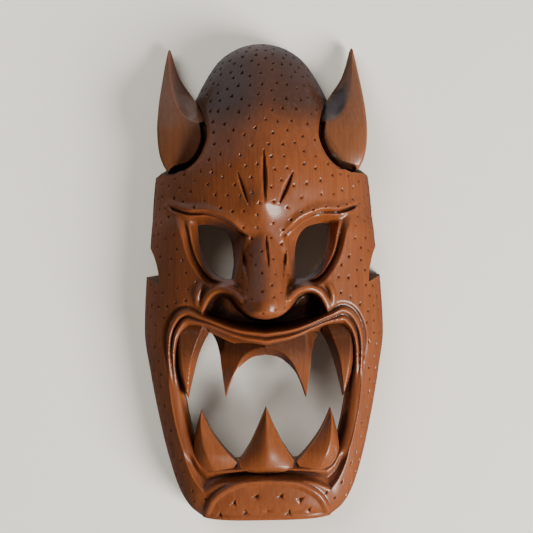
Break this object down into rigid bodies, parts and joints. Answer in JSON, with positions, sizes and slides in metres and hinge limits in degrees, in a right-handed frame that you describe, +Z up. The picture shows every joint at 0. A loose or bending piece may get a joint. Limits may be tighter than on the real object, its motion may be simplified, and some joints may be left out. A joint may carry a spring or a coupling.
{
  "type": "demon wall mask",
  "caption": "Carved wooden demon wall mask with two horns, pierced eyes, an open pierced mouth with fangs, a hollow back and a swinging ring hanger.",
  "frame": {"origin": "on the flat back plane, on the centre line, on the wood between the hollow back and the hanger recess in the crown", "axes": "+Z up to the crown, +Y out of the back towards the wall, so the face looks along -Y; +X to the right of someone facing the mask"},
  "size_m": [0.2048, 0.0981, 0.4],
  "materials": {
    "face_wood": "stained, satin",
    "horn_wood": "stained, satin",
    "fang_wood": "stained, satin",
    "hanger_steel": "plated"
  },
  "bodies": {
    "mask": {"face_shell": "face_wood", "right_horn": "horn_wood", "left_horn": "horn_wood", "upper_right_inner_fang": "fang_wood", "upper_left_inner_fang": "fang_wood", "upper_right_outer_fang": "fang_wood", "upper_left_outer_fang": "fang_wood", "lower_right_side_fang": "fang_wood", "lower_left_side_fang": "fang_wood", "lower_centre_fang": "fang_wood", "hanger_strap": "hanger_steel", "hanger_screw": "hanger_steel"},
    "ring": {"hanger_ring": "hanger_steel"}
  },
  "joints": [
    {"name": "ring_swing", "type": "hinge", "parent": "mask", "child": "ring", "pos_m": [0, -0.0026, 0.023], "axis": [1, 0, 0], "range_deg": [0, 180]}
  ]
}
